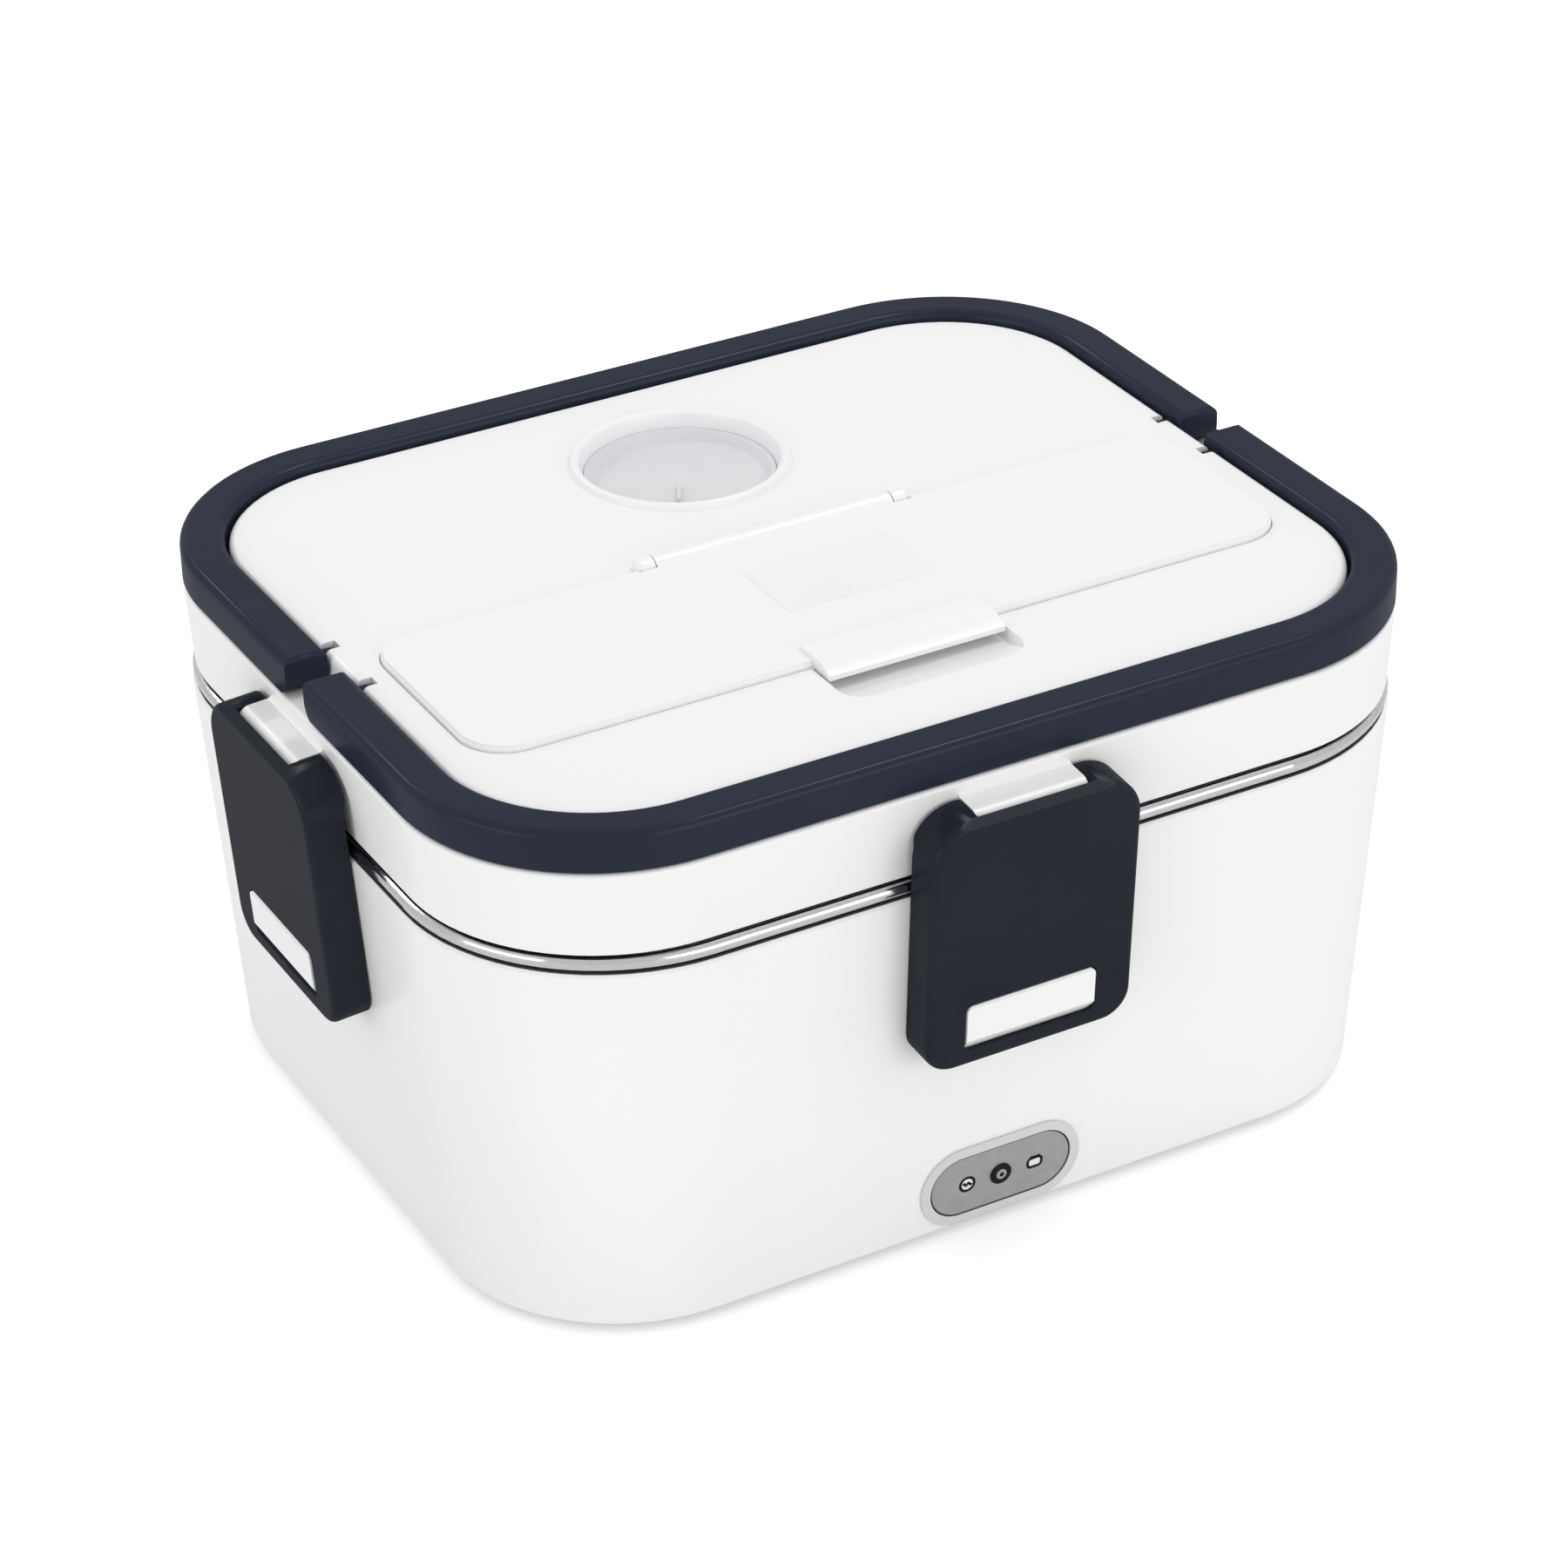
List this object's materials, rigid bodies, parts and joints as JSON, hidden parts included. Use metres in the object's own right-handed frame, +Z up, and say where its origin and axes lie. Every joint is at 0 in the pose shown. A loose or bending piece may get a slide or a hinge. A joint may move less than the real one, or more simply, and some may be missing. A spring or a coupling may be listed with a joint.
{
  "type": "electric lunch box",
  "caption": "Heated lunch box with a lift-out steel pot, clamp-down lid, side latches, folding handles, lidded cutlery bay and steam vent.",
  "frame": {"origin": "On the table under the middle of the box, at the underside of the feet.", "axes": "+Z up. +X along the long side. The control panel and front latch face -Y."},
  "size_m": [0.2562, 0.2156, 0.1282],
  "materials": {
    "white_shell": "white polypropylene, satin gloss",
    "inner_plastic": "off-white moulded plastic",
    "navy_plastic": "dark navy grey plastic, satin gloss",
    "black_plastic": "black moulded plastic",
    "stainless": "stainless steel, polished rim",
    "plate_aluminium": "bare cast aluminium",
    "heater_ceramic": "insulated heater block",
    "bakelite": "dark phenolic plastic",
    "silicone": "translucent milky silicone",
    "foot_rubber": "dark rubber",
    "silver_plate": "silver grey printed panel",
    "bezel_grey": "pale grey plastic",
    "board_green": "green circuit board",
    "lead_red": "red lead insulation",
    "lead_blue": "blue lead insulation",
    "lead_white": "white lead insulation",
    "label_film": "pale grey film, blank"
  },
  "bodies": {
    "base": {"outer_shell": "white_shell", "base_cover": "inner_plastic", "rubber_feet": "foot_rubber", "base_screws": "stainless", "inner_tub": "inner_plastic", "heating_plate": "plate_aluminium", "ptc_heater": "heater_ceramic", "heater_clamp": "stainless", "heater_screws": "stainless", "thermostat": "bakelite", "thermal_fuse": "stainless", "inlet_housing": "black_plastic", "inlet_pins": "stainless", "live_lead": "lead_red", "neutral_lead": "lead_blue", "heater_leads": "lead_white", "lamp_lead": "lead_white", "panel_bezel": "bezel_grey", "panel_plate": "silver_plate", "lamp_lens": "black_plastic", "lamp_board": "board_green"},
    "pot": {"inner_pot": "stainless"},
    "lid": {"lid_shell": "white_shell", "lid_liner": "inner_plastic", "lid_gasket": "silicone", "cover_hinge_pin": "stainless"},
    "bay_cover": {"cutlery_cover": "white_shell", "blank_label": "label_film"},
    "plug": {"vent_plug": "silicone"},
    "front_bail": {"front_handle": "navy_plastic"},
    "rear_bail": {"rear_handle": "navy_plastic"},
    "front_clip": {"front_latch": "navy_plastic"},
    "rear_clip": {"rear_latch": "navy_plastic"},
    "left_clip": {"left_latch": "navy_plastic"},
    "right_clip": {"right_latch": "navy_plastic"}
  },
  "joints": [
    {"name": "lid_lift", "type": "slide", "parent": "base", "child": "lid", "axis": [0, 0, 1], "range_m": [0, 0.105]},
    {"name": "pot_lift", "type": "slide", "parent": "base", "child": "pot", "axis": [0, 0, 1], "range_m": [0, 0.078]},
    {"name": "front_latch_hinge", "type": "hinge", "parent": "lid", "child": "front_clip", "pos_m": [0, -0.1022, 0.1114], "axis": [-1, 0, 0], "range_deg": [0, 90]},
    {"name": "rear_latch_hinge", "type": "hinge", "parent": "lid", "child": "rear_clip", "pos_m": [0, 0.1022, 0.1114], "axis": [1, 0, 0], "range_deg": [0, 90]},
    {"name": "left_latch_hinge", "type": "hinge", "parent": "lid", "child": "left_clip", "pos_m": [-0.1225, 0, 0.1114], "axis": [0, 1, 0], "range_deg": [0, 90]},
    {"name": "right_latch_hinge", "type": "hinge", "parent": "lid", "child": "right_clip", "pos_m": [0.1225, 0, 0.1114], "axis": [0, -1, 0], "range_deg": [0, 90]},
    {"name": "front_handle_hinge", "type": "hinge", "parent": "lid", "child": "front_bail", "pos_m": [0, -0.00935, 0.12265], "axis": [-1, 0, 0], "range_deg": [0, 90]},
    {"name": "rear_handle_hinge", "type": "hinge", "parent": "lid", "child": "rear_bail", "pos_m": [0, 0.00935, 0.12265], "axis": [1, 0, 0], "range_deg": [0, 90]},
    {"name": "cover_hinge", "type": "hinge", "parent": "lid", "child": "bay_cover", "pos_m": [0, 0.005, 0.1256], "axis": [-1, 0, 0], "range_deg": [0, 110]},
    {"name": "plug_pull", "type": "slide", "parent": "lid", "child": "plug", "axis": [0, 0, 1], "range_m": [0, 0.012]}
  ],
  "couplings": [
    {"joint": "pot_lift", "follows": "lid_lift", "ratio": 0.742},
    {"joint": "front_latch_hinge", "follows": "lid_lift", "rad_per_m": 14.95},
    {"joint": "rear_latch_hinge", "follows": "lid_lift", "rad_per_m": 14.95},
    {"joint": "left_latch_hinge", "follows": "lid_lift", "rad_per_m": 14.95},
    {"joint": "right_latch_hinge", "follows": "lid_lift", "rad_per_m": 14.95}
  ]
}
